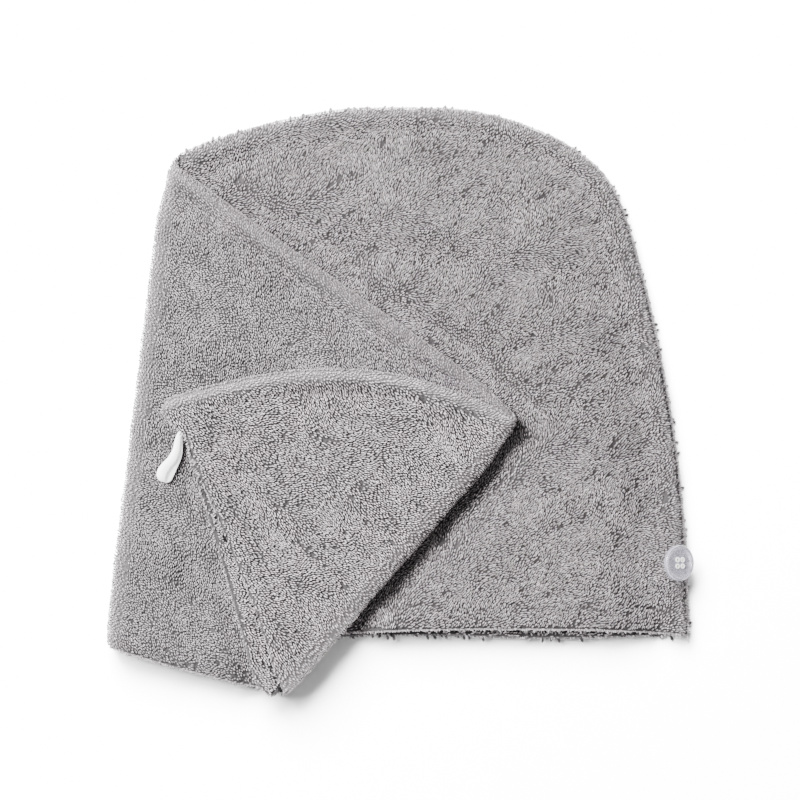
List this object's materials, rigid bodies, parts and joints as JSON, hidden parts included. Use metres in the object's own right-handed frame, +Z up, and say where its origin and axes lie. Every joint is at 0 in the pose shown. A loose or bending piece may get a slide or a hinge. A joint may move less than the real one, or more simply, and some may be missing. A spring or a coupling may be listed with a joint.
{
  "type": "hair turban towel",
  "caption": "Terry hair turban lying flat: a sewn bag open along its hem, with its tail folded over itself, a button at the nape and a tape loop.",
  "frame": {"origin": "middle of the footprint, on the surface that the towel lies on", "axes": "+X to the nape side with the button, +Y from the open hem to the top of the dome, +Z up"},
  "size_m": [0.2857, 0.2852, 0.0253],
  "materials": {
    "terry": "grey looped cotton terry, matt",
    "clear_plastic": "clear polished resin",
    "thread": "white sewing thread",
    "satin_tape": "white satin tape"
  },
  "bodies": {
    "root": {"back_panel": "terry", "front_panel": "terry", "button": "clear_plastic", "button_thread": "thread", "tail_loop": "satin_tape"}
  },
  "joints": []
}
